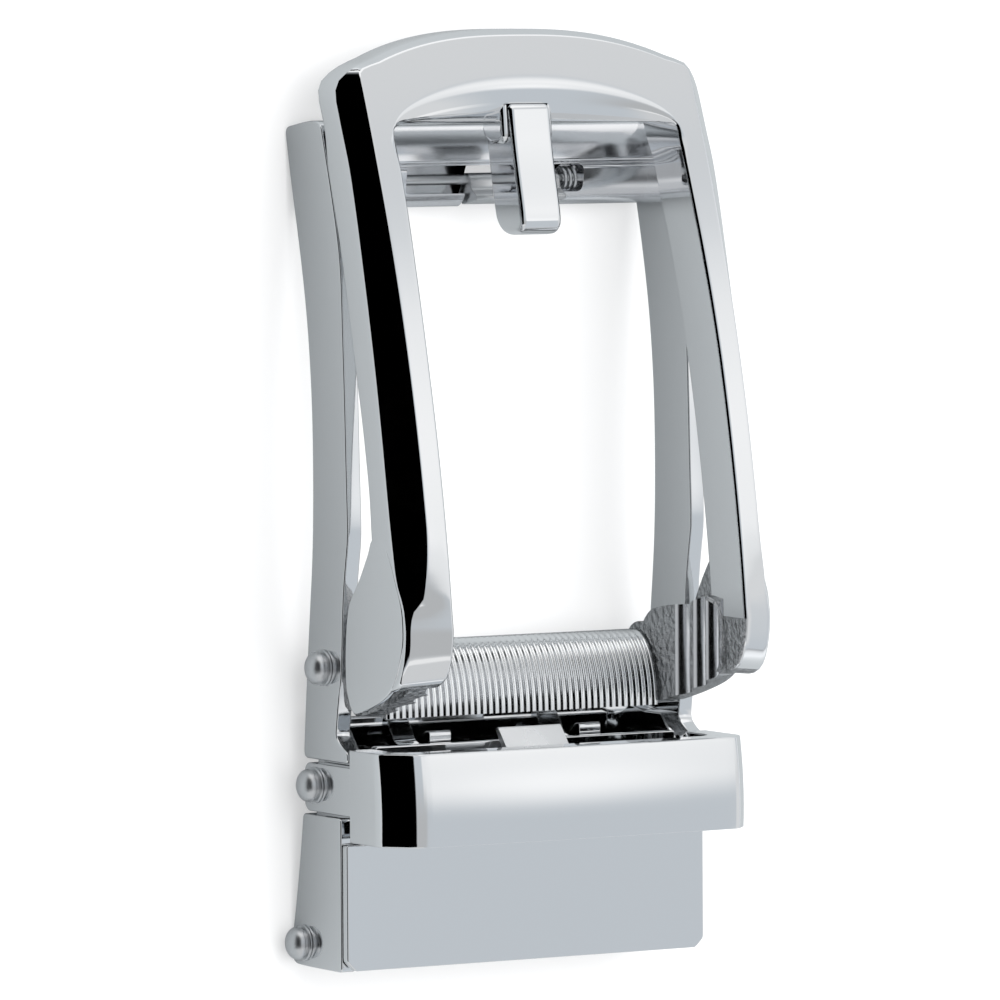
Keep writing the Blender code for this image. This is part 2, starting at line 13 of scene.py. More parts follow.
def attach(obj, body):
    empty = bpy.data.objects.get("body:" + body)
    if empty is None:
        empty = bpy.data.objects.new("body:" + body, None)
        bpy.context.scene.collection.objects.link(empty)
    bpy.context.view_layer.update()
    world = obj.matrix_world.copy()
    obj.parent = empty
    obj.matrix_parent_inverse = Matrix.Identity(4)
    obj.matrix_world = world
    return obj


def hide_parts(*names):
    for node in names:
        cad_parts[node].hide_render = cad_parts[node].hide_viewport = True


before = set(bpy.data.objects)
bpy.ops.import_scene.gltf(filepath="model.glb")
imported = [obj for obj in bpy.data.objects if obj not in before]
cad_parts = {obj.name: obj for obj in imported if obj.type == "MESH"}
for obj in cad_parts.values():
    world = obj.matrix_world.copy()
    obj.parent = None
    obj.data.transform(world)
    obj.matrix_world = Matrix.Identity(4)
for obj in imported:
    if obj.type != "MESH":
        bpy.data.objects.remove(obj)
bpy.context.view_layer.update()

MM = 0.001
GAP = 0.3
OVERLAP = 0.1
HALF_WIDTH = 20.0
ABOVE_ALL = 30.0

# Hinge axes, all along X, as (y, z)
FRAME_PIVOT = (-15.9, 6.9)
KEEPER_RIVET = (-27.3, 5.1)
CLAMP_PIVOT = (-42.7, 2.7)
PAWL_PIVOT = (30.45, 3.0)

# Edges: widths of their bevels, the turn in degrees from which a corner is sharp, the share of a short
# side that a rounded corner takes at most, and the distance under which two points are one
FINE_EDGE = 0.1
PLATE_EDGE = 0.14
EDGE = 0.16
SOFT_EDGE = 0.28
SHARP_TURN = 28.0
SHARE_OF_SIDE = 0.45
SAME_PLACE = 1e-4
CURVE_STEPS = 5

# Rails
RAIL_INSIDE = 18.4
RAIL_CORNER = 0.8
RAIL_BACK = [(35.7, 0.0), (31.0, 0.95), (24.0, 2.75), (17.0, 4.15), (9.6, 4.9), (2.0, 5.05),
             (-5.0, 4.85), (-12.0, 4.05), (-19.4, 3.3), (-24.8, 2.85)]
RAIL_FRONT = [(-24.8, 11.4), (-23.8, 11.4), (-23.2, 10.1), (-22.4, 9.15), (-20.4, 9.45),
              (-18.6, 9.75), (-17.0, 10.2), (-15.0, 10.4), (-9.3, 10.7), (-6.0, 11.2), (-3.5, 11.7),
              (-1.5, 11.7), (3.0, 11.5), (9.8, 11.3), (17.0, 10.95), (22.6, 10.75), (27.6, 9.6),
              (35.9, 7.05), (36.35, 6.3), (36.4, 4.7)]

# Clamp walls, strap bed, cheeks and stops
TAIL_END = -44.95
WALL_TOP = -30.15
WALL_FRONT = 10.0
WALL_CORNER = 0.5
WALL_TAIL_BACK = 1.5
WALL_BACK = [(-30.15, 2.65), (-34.0, 2.1), (-38.5, 1.25), (-41.4, 0.6), (-43.9, 0.0), (-44.7, 0.7)]
BED_HALF_WIDTH = 18.45
BED_END = -21.0
BED_INSET = 0.2
BED_THICKNESS = 1.25
BED_CORNER = 0.2
CHEEK_INSIDE = 17.4
CHEEK_OUTSIDE = 18.5
CHEEK_OUTLINE = [(-37.6, 2.2), (-37.6, 9.6), (-24.2, 9.6), (-21.9, 7.6), (-21.9, 3.4)]
LUG_POCKET_TOP = -38.3
LUG_POCKET_FRONT = 4.0
LUG_POCKET_INSIDE = 16.7
STOP_CENTRE = 8.4
STOP_HALF_WIDTH = 1.2
STOP_OUTLINE = [(-24.7, 3.2), (-24.7, 9.1), (-22.3, 9.1), (-22.4, 8.2), (-24.2, 6.4), (-24.3, 3.4)]

# Crossbar, with the pocket for the pawl, its pin and its spring
CROSSBAR_OUTLINE = [(35.9, 0.6), (35.9, 2.4), (35.0, 3.2), (33.6, 3.75), (32.2, 4.05), (31.85, 3.6),
                    (31.5, 4.05), (30.3, 4.0), (29.1, 3.6), (28.2, 2.9), (27.75, 2.0), (28.1, 1.0),
                    (31.5, 0.6)]
CROSSBAR_CORNER = 0.5
SLOT_LEFT = -8.8
SLOT_RIGHT = 11.1
SLOT_TOP = 31.8
SLOT_BOTTOM = 29.1
SLOT_FLOOR = 1.6
SLOT_FRONT = 5.0
SLOT_CORNER = 0.6
CROSSBAR_BOTTOM = 27.0
PAWL_LEFT = -1.7
PAWL_RIGHT = 8.4
PAWL_OUTLINE = [(31.05, 2.0), (31.05, 3.5), (30.5, 4.0), (29.6, 4.1), (28.9, 5.2), (28.45, 5.2),
                (28.1, 3.4), (28.0, 2.3), (28.6, 1.7), (30.6, 1.6)]
PAWL_CORNER = 0.3
PIN_RADIUS = 0.5
PIN_LEAD = 0.15
PIN_LEFT = -10.2
PIN_RIGHT = 12.3
SPRING_RADIUS = 0.98
SPRING_WIRE = 0.17
SPRING_TURNS = 3
SPRING_START = 8.95
SPRING_PITCH = 0.55
SPRING_STEPS = 36
WIRE_SIDES = 12

# Front frame
FACE_CENTRE_Y = -30.9
FACE_CENTRE_Z = -158.9
FACE_RADIUS = 185.2
WINDOW_TOP = 35.9
LEG_DEPTH = 6.8
BAR_DEPTH = 3.4
INNER_BEVEL = 0.34
INNER_LEAN = 0.4
BEVEL_SHOULDER = (0.14, 0.1)
SCOOP_HALF_WIDTH = 15.4
SCOOP_HEIGHT = 4.4
SCOOP_DEPTH = 3.0
SCOOP_POWER = 0.75
SCOOP_SAG = 0.26
SCOOP_LIP = 1.2
ARCH_APEX = 45.0
ARCH_DROP = 3.1
ARCH_HALF_WIDTH = 17.4
ARCH_POWER = 2.6
RIM = 0.6

# Columns of a leg: y, half widths of the window, of the face and of the side, depth of the chamfer,
# z of the back edge, softness of the chamfer's upper edge, drop of the face towards the side
LEG_ROWS = [(-11.6, 16.1, 20.05, 20.3, 0.36, 17.2, 0.3, 1.8),
            (-10.4, 16.1, 19.95, 20.3, 0.5, 17.2, 0.3, 1.7),
            (-9.6, 16.1, 19.75, 20.3, 0.75, 17.2, 0.3, 1.5),
            (-9.0, 16.1, 19.35, 20.32, 1.35, 17.2, 0.25, 1.05),
            (-8.4, 16.1, 19.0, 20.33, 2.0, 17.2, 0.2, 0.65),
            (-7.4, 16.1, 18.85, 20.34, 2.75, 17.2, 0.16, 0.4),
            (-6.2, 16.1, 18.7, 20.34, 3.2, 17.1, 0.16, 0.25),
            (-4.2, 16.1, 18.5, 20.34, 3.5, 16.8, 0.16, 0.1),
            (-1.8, 16.1, 18.4, 20.35, 3.7, 16.6, 0.16, 0.0),
            (0.4, 16.1, 18.4, 20.35, 3.75, 16.4, 0.16, 0.0),
            (6.2, 16.1, 18.4, 20.35, 3.65, 15.4, 0.16, 0.0),
            (12.0, 16.1, 18.4, 20.35, 3.45, 14.1, 0.16, 0.0),
            (17.8, 16.05, 18.4, 20.35, 3.2, 12.7, 0.16, 0.0),
            (23.6, 15.95, 18.4, 20.35, 2.85, 11.3, 0.16, 0.0),
            (28.0, 15.85, 18.4, 20.35, 2.5, 10.0, 0.16, 0.0),
            (32.0, 15.8, 18.4, 20.35, 2.25, 8.8, 0.16, 0.0)]

# Foot of a leg: half widths of the face and of the side, depth of the chamfer, z of the back edge,
# half width of the window and softness of the chamfer's upper edge
FOOT_FACE = 20.05
FOOT_SIDE = 20.3
FOOT_CHAMFER = 0.36
FOOT_BACK = 16.4
FOOT_WINDOW = 16.1
FOOT_SOFTNESS = 0.3

# Columns of a foot: y inside, y outside, face z inside, face z outside
FOOT_ROWS = [(-17.05, -17.4, 20.6, 18.9),
             (-17.05, -17.45, 21.4, 19.7),
             (-16.9, -17.3, 22.3, 20.6),
             (-16.5, -16.9, 23.2, 21.5),
             (-16.0, -16.3, 23.9, 22.2),
             (-15.3, -15.5, 24.4, 22.7),
             (-14.5, -14.6, 24.75, 23.05),
             (-13.8, -13.8, 24.98, 23.25),
             (-12.8, -12.8, 25.17, 23.42)]

# Where the frame is left as cast: y below this, x within the reach, and faces turned in or down by
# at least these parts of their normals
CAST_LIMIT = -11.6
CAST_REACH = 19.7
CAST_INWARD = 0.5
CAST_DOWN = 0.8

# Columns of the corners: x and y of the window's edge, of the face's outer edge and of the side
CORNER_ROWS = [(15.8, 34.2, 18.4, 35.4, 20.35, 35.6),
               (15.8, 34.8, 18.4, 37.0, 20.35, 37.0),
               (15.8, 35.1, 18.4, 38.2, 20.35, 38.2),
               (15.75, 35.4, 18.4, 39.3, 20.25, 39.3),
               (15.65, 35.6, 18.4, 40.3, 19.9, 40.2),
               (15.5, 35.75, 18.3, 41.0, 19.2, 41.0),
               (15.3, 35.85, 17.9, 41.35, 18.4, 41.6)]
CHAMFER_INSIDE = 18.0
ARCH_START = 14.2
ARCH_STEPS = 25
FACE_STRETCH = 1.12
OUTSIDE_STRETCH = 1.15
RING_STEP = 0.8
BACK_ROUNDING = 0.4
WINDOW_ROUNDING = 0.12
SIDE_ROUNDING = 0.16
HOLLOW_STEPS = 12
FACE_STEPS = 6

# Ears of the frame: the plate flush with the rails, its core, and the cast block inside it
EAR_INSIDE = 19.75
EAR_OUTSIDE = 20.37
EAR_EDGE = 0.15
EAR_CORNER = 1.2
EAR_BODY = [(-18.6, 12.2), (-17.0, 11.75), (-14.8, 11.7), (-11.9, 11.9), (-9.8, 12.3), (-8.9, 12.85),
            (-7.6, 14.05), (-6.6, 14.8), (-5.5, 15.5), (-4.4, 16.25), (-3.0, 16.8), (-3.2, 19.2),
            (-5.2, 20.6), (-7.1, 21.5), (-9.3, 22.6), (-11.7, 22.85), (-13.0, 22.7)]
EAR_LEFT_END = [(-15.1, 21.95), (-16.25, 21.3), (-17.3, 20.3), (-18.4, 18.6), (-19.3, 16.0),
                (-20.05, 13.1)]
EAR_RIGHT_END = [(-14.9, 21.95), (-15.7, 21.0), (-16.3, 19.4), (-17.8, 15.4), (-18.9, 12.0)]
CORE_INSIDE = 17.9
CORE_CORNER = 1.0
CORE_OUTLINE = [(-18.7, 14.0), (-17.0, 12.7), (-14.8, 12.3), (-11.9, 12.7), (-9.6, 13.7), (-6.5, 15.9),
                (-5.0, 17.5), (-5.0, 20.0), (-9.0, 20.5), (-14.0, 20.5), (-15.6, 19.6), (-16.6, 17.9)]
BLOCK_INSIDE = 15.5
BLOCK_OUTSIDE = 18.1
BLOCK_EDGE = 0.12
BLOCK_CORNER = 0.9
BLOCK_OUTLINE = [(-20.6, 9.9), (-18.8, 7.2), (-13.1, 7.2), (-11.6, 8.8), (-11.1, 11.5), (-10.9, 13.3),
                 (-10.75, 15.9), (-9.85, 17.6), (-9.75, 18.5), (-10.5, 19.6), (-11.3, 20.4),
                 (-13.2, 21.2), (-16.3, 21.4), (-18.0, 19.3), (-19.6, 14.1)]
LOBE_RADIUS = 3.0

# Flutes of the cast blocks: y of their ends, z where they start, how far a fluted face turns inward
# and the least lean of its normal
FLUTE_SPAN = (-24.0, -8.0)
FLUTES_START = 13.2
FLUTE_INWARD = (0.2, 0.99)
FLUTE_LEAN = 0.12

# Columns of the flutes: z of the middle, x of the middle, radius
FLUTES = [(14.85, 14.95, 1.5), (17.9, 15.15, 1.15), (20.3, 15.0, 1.3)]

# Prong, and the collar round its root
COLLAR_HALF_WIDTH = 2.85
COLLAR_EDGE = 0.5
COLLAR_CORNER = 0.9
COLLAR_OUTLINE = [(38.75, 8.0), (38.75, 11.0), (38.3, 11.8), (36.2, 12.05), (34.6, 12.2), (34.0, 11.6),
                  (33.9, 9.5), (35.0, 8.0)]
PRONG_HALF_WIDTH = 2.25
PRONG_ROOT = 37.8
PRONG_OUTLINE = [(PRONG_ROOT, 8.2), (PRONG_ROOT, 12.2), (37.45, 12.55), (33.4, 13.2), (27.2, 14.75),
                 (26.1, 14.7), (25.4, 13.9), (25.2, 12.0), (25.6, 10.6), (26.6, 9.6), (29.5, 8.8),
                 (35.2, 7.7)]
PRONG_EDGE = 0.75
PRONG_CORNER = 0.9
NOTCH_BOTTOM = 34.0
NOTCH_FLOOR = 7.6
NOTCH_CLEARANCE = 0.05

# Ribbed cam bar
BAR_HALF_LENGTH = 15.2
BAR_BOTTOM = -20.8
BAR_TOP = -13.7
BAR_BACK = 5.0
BAR_EDGE_Z = 7.0
BAR_BULGE = 3.8
RIB_COUNT = 44
RIB_DEPTH = 0.25
RIB_SAMPLES = 10
RIB_NARROWING = 2.2
BAR_ARC_STEPS = 20
BAR_CHAMFER = 1.2
BAR_SMALL_CHAMFER = 0.6

# Keeper loop
KEEPER_BOTTOM = -32.35
KEEPER_TOP = -23.45
KEEPER_FRONT = 20.75
KEEPER_BACK = 11.7
KEEPER_INSIDE = 17.6
KEEPER_BAR = 3.5
KEEPER_CORNER = 2.75
KEEPER_RIGHT_CORNER = 1.5
KEEPER_INNER_CORNER = 2.0
KEEPER_CROWN = 0.3
KEEPER_APEX = -0.5
KEEPER_BOW = 0.42
KEEPER_SOFTNESS = 0.9
KEEPER_ROWS = 18
KEEPER_CORNER_STEPS = 6
KEEPER_INNER_STEPS = 8
KEEPER_FRONT_START = 1.5
KEEPER_FRONT_END = 1.0
KEEPER_FRONT_STEPS = 8
TAB_INSIDE = 18.8
TAB_EDGE = 0.12
TAB_CORNER = 0.5
TAB_OUTLINE = [(-29.85, 11.9), (-29.85, 3.6), (-29.3, 3.05), (-25.7, 3.05), (-25.2, 3.6), (-25.2, 11.9)]

# Clamp flap
FLAP_BACK = 10.3
FLAP_FRONT = 11.2
FLAP_NECK = 16.8
FLAP_TOP = -23.35
FLAP_CHAMFER = 0.9
FLAP_SETBACK = 0.2
FLAP_CORNER = 0.3
LUG_INSIDE = 17.3
LUG_OUTSIDE = 18.1
LUG_OUTLINE = [(-44.6, 10.6), (-44.6, 2.7), (-44.1, 1.2), (-42.7, 0.75), (-41.2, 1.4), (-40.7, 2.7),
               (-38.9, 8.5), (-38.9, 10.6)]
TONGUE_HALF_WIDTH = 3.5
TONGUE_OUTLINE = [(-31.2, 10.7), (-29.2, 12.8), (-25.2, 13.85), (-24.4, 13.75), (-22.0, 11.65),
                  (-22.25, 11.15), (-24.5, 12.75), (-24.8, 12.4), (-24.8, 10.6)]
TOOTH_COUNT = 10
TOOTH_PITCH = 3.0
TOOTH_TIP = 7.0
TOOTH_ROOT = 8.6
TOOTH_OVERLAP = 0.3
TOOTH_EDGE = 0.08
TOOTH_BAR = (-30.2, -28.7)

# Rivets
RIVET_RADIUS = 0.8
RIVET_LEAD = 0.1
RIVET_STANDOFF = 0.02
RIVET_SIDES = 40
PIVOT_SHANK_END = 12.9

# Columns of a rivet's rim and neck: distance from the head's inner face, radius. The dome's start and
# top are measured from there too.
RIVET_ROWS = [(0.0, 1.7), (0.05, 1.75), (0.2, 1.75), (0.26, 1.68), (0.28, 1.35), (0.62, 1.35),
              (0.62, 1.49)]
DOME_START = 0.72
DOME_RADIUS = 1.59
DOME_TOP = 1.78
DOME_STEPS = 14

# Metals: scale of the waves, scale of the hazy patches and the noise from which they start and end,
# scale, stretch and strength of the hairlines and their share of the waves' height, and the tone of
# castings at grazing angles
WAVE_SCALE = 110.0
HAZE_SCALE = 260.0
HAZE_START = 0.35
HAZE_END = 0.65
HAIRLINE_SCALE = 900.0
HAIRLINE_STRETCH = (1.0, 0.05, 1.0)
HAIRLINE_STRENGTH = 0.25
HAIRLINE_SHARE = 0.12
CAST_TINT = (0.45, 0.45, 0.45, 1.0)

# Studio: the light from the walls, and areas of other light as the lowest and the highest direction
# (x, y, z), the softness of their borders and their light
WALL_LIGHT = (0.62, 0.66, 0.70)
STUDIO_AREAS = [((-1.0, 0.50, 0.1), (1.0, 1.0, 1.0), (0.1, 0.14, 0.1), (0.78, 0.79, 0.80)),
                ((-1.0, 0.76, -0.1), (1.0, 1.0, 1.0), (0.1, 0.08, 0.1), (1.15, 1.15, 1.15)),
                ((0.1, 0.02, 0.3), (0.95, 0.47, 1.0), (0.08, 0.08, 0.1), (0.96, 0.97, 0.98)),
                ((0.455, 0.02, 0.3), (0.56, 0.16, 1.0), (0.05, 0.12, 0.1), (1.18, 1.18, 1.18)),
                ((0.41, 0.22, 0.3), (0.59, 0.36, 1.0), (0.08, 0.12, 0.1), (1.12, 1.12, 1.12)),
                ((-0.6, -0.6, 0.3), (0.32, 0.05, 1.0), (0.12, 0.16, 0.1), (0.54, 0.55, 0.56)),
                ((-1.0, -1.0, -0.2), (0.15, -0.52, 1.0), (0.1, 0.05, 0.1), (0.72, 0.73, 0.74)),
                ((-1.0, -0.62, -0.2), (0.15, -0.54, 1.0), (0.1, 0.02, 0.1), (0.98, 0.98, 0.98)),
                ((0.65, -1.0, 0.1), (1.0, 0.1, 1.0), (0.08, 0.12, 0.1), (0.80, 0.81, 0.82)),
                ((0.65, -0.62, 0.0), (1.0, -0.54, 1.0), (0.08, 0.02, 0.1), (1.05, 1.05, 1.05)),
                ((-1.0, -0.45, -0.3), (-0.5, 0.75, 0.82), (0.03, 0.06, 0.03), (0.0, 0.0, 0.0))]

# Floors, in metres: the pale one that the camera sees, and the grey and the black one that only the
# chrome mirrors, which are painted reflections; the grey one darkens near the part as painted shade
FLOOR_SIZE = 8.0
FLOOR_LEVEL = -0.00002
FLOOR_TONE = 0.93
FLOOR_GLOW = 0.45
MIRRORED_LEVEL = -0.00001
# painted shade: the mirrored floor's tone near the part, darker where contact shadow would fall
FLOOR_NEAR_PAINTED_SHADE = (0.34, 0.355, 0.362)
FLOOR_FAR = (0.62, 0.63, 0.64)
NEAR_REACH = 0.03
FAR_REACH = 0.35
# painted reflection: where the black sheet that only the chrome mirrors starts and how far it reaches
DARK_FLOOR_START = 0.12
DARK_FLOOR_REACH = 6.0
BLACK = (0.0, 0.0, 0.0)

# Overhead light, in metres and watts
OVERHEAD_PLACE = (0.1, 0.2, 1.2)
OVERHEAD_SIZE = 1.4
OVERHEAD_POWER = 26.0

# Camera: direction, focal length and place that match the photograph, with the small lean that lays
# the part flat on its back. Only the start of the clip is in metres.
AZIMUTH = radians(30.57)
ELEVATION = radians(3.907)
FOCAL_PIXELS = 8676.0
IMAGE_SIZE = 1000.0
DISTANCE = 839.5
AIM = (0.0, 50.0, 12.0)
LEAN = 0.01135
SHIFT_Y = 50.4
SHIFT_Z = 6.16837
SENSOR = 36.0
CLIP_START = 0.01


def link(name, data):
    """An object in the scene from its mesh, camera or light."""
    made = bpy.data.objects.new(name, data)
    bpy.context.collection.objects.link(made)
    return made


def solid(points, faces):
    """A mesh object from points in millimetres."""
    mesh = bpy.data.meshes.new("part")
    mesh.from_pydata([tuple(MM * c for c in point) for point in points], [], faces)
    mesh.update()
    return link("part", mesh)


def applied(item):
    """Turn an object's modifiers into mesh."""
    graph = bpy.context.evaluated_depsgraph_get()
    mesh = bpy.data.meshes.new_from_object(item.evaluated_get(graph))
    item.modifiers.clear()
    item.data = mesh
    return item


def bevelled(item, width, steps=3, angle=40.0):
    """Round the edges that turn by more than an angle."""
    bevel = item.modifiers.new("edges", "BEVEL")
    bevel.width = width * MM
    bevel.segments = steps
    bevel.limit_method = "ANGLE"
    bevel.angle_limit = radians(angle)
    return applied(item)


def combined(base, other, operation):
    step = base.modifiers.new("combine", "BOOLEAN")
    step.operation = operation
    step.solver = "EXACT"
    step.object = other
    applied(base)
    bpy.data.objects.remove(other, do_unlink=True)
    return base


def cut(base, other):
    return combined(base, other, "DIFFERENCE")


def merge(base, other):
    return combined(base, other, "UNION")


def signed_area(outline):
    total = 0.0
    for (a, b), (c, d) in zip(outline, outline[1:] + outline[:1]):
        total += a * d - c * b
    return total / 2.0


def bend(before, here, after, steps):
    """Points of a quadratic curve that rounds a corner."""
    points = []
    for k in range(steps + 1):
        t = k / steps
        points.append(before * (1 - t) ** 2 + here * (2 * t * (1 - t)) + after * t ** 2)
    return points


def rounded(outline, reach):
    """A closed outline with its sharp corners rounded and its shallow ones turned into curves."""
    result = []
    count = len(outline)
    for i in range(count):
        here = Vector(outline[i])
        back = Vector(outline[i - 1]) - here
        ahead = Vector(outline[(i + 1) % count]) - here
        turn = 180.0 - degrees(back.angle(ahead))
        if turn < SHARP_TURN:
            start = here + back * 0.5
            end = here + ahead * 0.5
        else:
            size = min(reach, SHARE_OF_SIDE * back.length, SHARE_OF_SIDE * ahead.length)
            start = here + back.normalized() * size
            end = here + ahead.normalized() * size
        for point in bend(start, here, end, CURVE_STEPS):
            if not result or (point - result[-1]).length > SAME_PLACE:
                result.append(point)
    if (result[0] - result[-1]).length < SAME_PLACE:
        result.pop()
    return [tuple(point) for point in result]


def prism(outline, low, high, axis="X"):
    """An outline extruded along an axis. Its columns are (y, z) for X, (z, x) for Y and (x, y) for Z."""
    ring = outline if signed_area(outline) > 0 else outline[::-1]
    shift = "XYZ".index(axis)
    count = len(ring)
    points = []
    for t in (low, high):
        for u, v in ring:
            cycle = (t, u, v)
            points.append(tuple(cycle[(k - shift) % 3] for k in range(3)))
    faces = [tuple(range(count))[::-1], tuple(range(count, 2 * count))]
    for i in range(count):
        j = (i + 1) % count
        faces.append((i, j, count + j, count + i))
    return solid(points, faces)


def slab(outline, low, high, edge=EDGE, axis="X", reach=0.4):
    """A plate with rounded corners and softened edges."""
    return bevelled(prism(rounded(outline, reach), low, high, axis), edge)


def loft(sections):
    """Closed sections with the same number of points, joined in order and capped at both ends."""
    count = len(sections[0])
    points = [tuple(p) for section in sections for p in section]
    faces = [tuple(range(count))[::-1]]
    for row in range(len(sections) - 1):
        for i in range(count):
            j = (i + 1) % count
            a = row * count
            b = a + count
            faces.append((a + i, a + j, b + j, b + i))
    last = (len(sections) - 1) * count
    faces.append(tuple(range(last, last + count)))
    return solid(points, faces)


def box(low, high, back, front):
    """The outline of a rectangle."""
    return [(low, back), (high, back), (high, front), (low, front)]


def disc(u, v, radius, sides=RIVET_SIDES):
    return [(u + radius * cos(2 * pi * i / sides), v + radius * sin(2 * pi * i / sides))
            for i in range(sides)]


def cylinder(centre, radius, low, high, sides=RIVET_SIDES):
    return prism(disc(centre[0], centre[1], radius, sides), low, high)


def turned(centre, profile, side=1.0, sides=RIVET_SIDES):
    """A solid of revolution about X from (x, radius) pairs."""
    points = []
    for x, radius in profile:
        points += [(side * x, y, z) for y, z in disc(centre[0], centre[1], radius, sides)]
    faces = [tuple(range(sides))[::-1]]
    for row in range(len(profile) - 1):
        for i in range(sides):
            j = (i + 1) % sides
            a = row * sides
            b = a + sides
            faces.append((a + i, a + j, b + j, b + i))
    last = (len(profile) - 1) * sides
    faces.append(tuple(range(last, last + sides)))
    if side < 0:
        faces = [face[::-1] for face in faces]
    return solid(points, faces)


def span(side, inside, outside):
    """The lower and the upper x of a stretch on the left or the right."""
    return sorted((side * inside, side * outside))


def piece(name, parts, body, nodes, look, sharp=32.0):
    """Join parts into one named object, give it its look, and let it stand for its CAD nodes."""
    mesh = bpy.data.meshes.new(name)
    store = bmesh.new()
    for part in parts:
        store.from_mesh(part.data)
        bpy.data.objects.remove(part, do_unlink=True)
    bmesh.ops.recalc_face_normals(store, faces=store.faces)
    store.to_mesh(mesh)
    store.free()
    made = link(name, mesh)
    made.data.materials.append(look)
    made.data.shade_smooth()
    made.data.set_sharp_from_angle(angle=radians(sharp))
    weighted = made.modifiers.new("normals", "WEIGHTED_NORMAL")
    weighted.keep_sharp = True
    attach(made, body)
    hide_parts(*nodes)
    return made


def node(tree, kind, values=None, links=None, **settings):
    """A shader node with its settings, its socket values and the outputs that feed it."""
    made = tree.nodes.new(kind)
    for key, value in settings.items():
        setattr(made, key, value)
    for key, value in (values or {}).items():
        made.inputs[key].default_value = value
    for key, source in (links or {}).items():
        tree.links.new(source, made.inputs[key])
    return made


def ramp(tree, value, low, high, start=0.0, end=1.0):
    """A smooth step of a value from start to end."""
    limits = {"From Min": low, "From Max": high, "To Min": start, "To Max": end}
    made = node(tree, "ShaderNodeMapRange", limits, {"Value": value}, interpolation_type="SMOOTHSTEP")
    return made.outputs["Result"]


def product(tree, values):
    result = values[0]
    for value in values[1:]:
        made = node(tree, "ShaderNodeMath", {}, {0: result, 1: value}, operation="MULTIPLY")
        result = made.outputs["Value"]
    return result


def blended(tree, share, base, colour):
    """Base, painted over with a colour where share is 1."""
    made = node(tree, "ShaderNodeMix", {}, {"Factor": share}, data_type="RGBA")
    colours = [socket for socket in made.inputs if socket.type == "RGBA"]
    colours[1].default_value = (*colour, 1.0)
    if isinstance(base, tuple):
        colours[0].default_value = (*base, 1.0)
    else:
        tree.links.new(base, colours[0])
    return next(socket for socket in made.outputs if socket.type == "RGBA")


def metal(name, colour, roughness, wobble, haze, grain=None):
    """Plated metal: faint waves in the polish, hazy patches, fine hairlines and, on castings, grain."""
    made = bpy.data.materials.new(name)
    made.use_nodes = True
    tree = made.node_tree
    shader = tree.nodes["Principled BSDF"]
    shader.inputs["Base Color"].default_value = (*colour, 1.0)
    shader.inputs["Metallic"].default_value = 1.0
    place = tree.nodes.new("ShaderNodeTexCoord").outputs["Object"]

    def noise(scale, detail, source=place):
        settings = {"Scale": scale, "Detail": detail}
        return node(tree, "ShaderNodeTexNoise", settings, {"Vector": source}).outputs["Fac"]

    def bump(height, strength, distance, before=None):
        sources = {"Height": height}
        if before:
            sources["Normal"] = before
        settings = {"Strength": strength, "Distance": distance}
        return node(tree, "ShaderNodeBump", settings, sources).outputs["Normal"]

    limits = {"From Min": HAZE_START, "From Max": HAZE_END, "To Min": roughness, "To Max": roughness + haze}
    hazy = node(tree, "ShaderNodeMapRange", limits, {"Value": noise(HAZE_SCALE, 3.0)}).outputs["Result"]
    tree.links.new(hazy, shader.inputs["Roughness"])
    normal = bump(noise(WAVE_SCALE, 1.0), 1.0, wobble * MM)
    stretched = node(tree, "ShaderNodeMapping", {"Scale": HAIRLINE_STRETCH}, {"Vector": place})
    hairlines = noise(HAIRLINE_SCALE, 4.0, stretched.outputs["Vector"])
    normal = bump(hairlines, HAIRLINE_STRENGTH, wobble * HAIRLINE_SHARE * MM, normal)
    if grain:
        size, depth = grain
        shader.inputs["Specular Tint"].default_value = CAST_TINT
        normal = bump(noise(size, 5.0), 1.0, depth * MM, normal)
    tree.links.new(normal, shader.inputs["Normal"])
    return made


def face_z(y):
    """Height of the frame's curved face."""
    return FACE_CENTRE_Z + sqrt(FACE_RADIUS ** 2 - (y - FACE_CENTRE_Y) ** 2)


def arch_y(x):
    """The frame's arched end."""
    return ARCH_APEX - ARCH_DROP * (abs(x) / ARCH_HALF_WIDTH) ** ARCH_POWER


def scoop(x):
    """How far the hollow above the window reaches, from 1 in the middle to 0 at its ends."""
    return max(0.0, 1.0 - (x / SCOOP_HALF_WIDTH) ** 2) ** SCOOP_POWER


def leg_section(inside, outside, z_inside, z_outside, depth, z_back, window, face, half, soft):
    """A section across the left leg: inner side, bevel, face, chamfer, outer side, back and softness."""
    return [(-window - INNER_LEAN, inside, z_inside - LEG_DEPTH),
            (-window, inside, z_inside - INNER_BEVEL),
            (-window - BEVEL_SHOULDER[0], inside, z_inside - BEVEL_SHOULDER[1]),
            (-window - INNER_BEVEL, inside, z_inside),
            (-face, outside, z_outside),
            (-half, outside, z_outside - depth),
            (-half, outside, z_back),
            (soft, soft, soft)]


def top_section(x_in, y_in, x_face, y_face, x_out, y_out, depth_out):
    """A section across the top bar, with the hollow above the window."""
    reach = scoop(x_in)
    depth = INNER_BEVEL + SCOOP_DEPTH * reach
    height = INNER_BEVEL + SCOOP_HEIGHT * reach
    x_scoop = x_in + (x_face - x_in) * height / (y_face - y_in)
    y_half = y_in + height / 2
    z_in = face_z(y_in)
    return [(x_in, y_in + INNER_LEAN, min(z_in - LEG_DEPTH, z_in - depth - SCOOP_LIP)),
            (x_in, y_in, z_in - depth),
            ((x_in + x_scoop) / 2, y_half, face_z(y_half) - depth * SCOOP_SAG),
            (x_scoop, y_in + height, face_z(y_in + height)),
            (x_face, y_face, face_z(y_face)),
            (x_out, y_out, face_z(y_out) - depth_out),
            (x_out, y_out, face_z(y_out) - depth_out - BAR_DEPTH),
            (EDGE, EDGE, EDGE)]


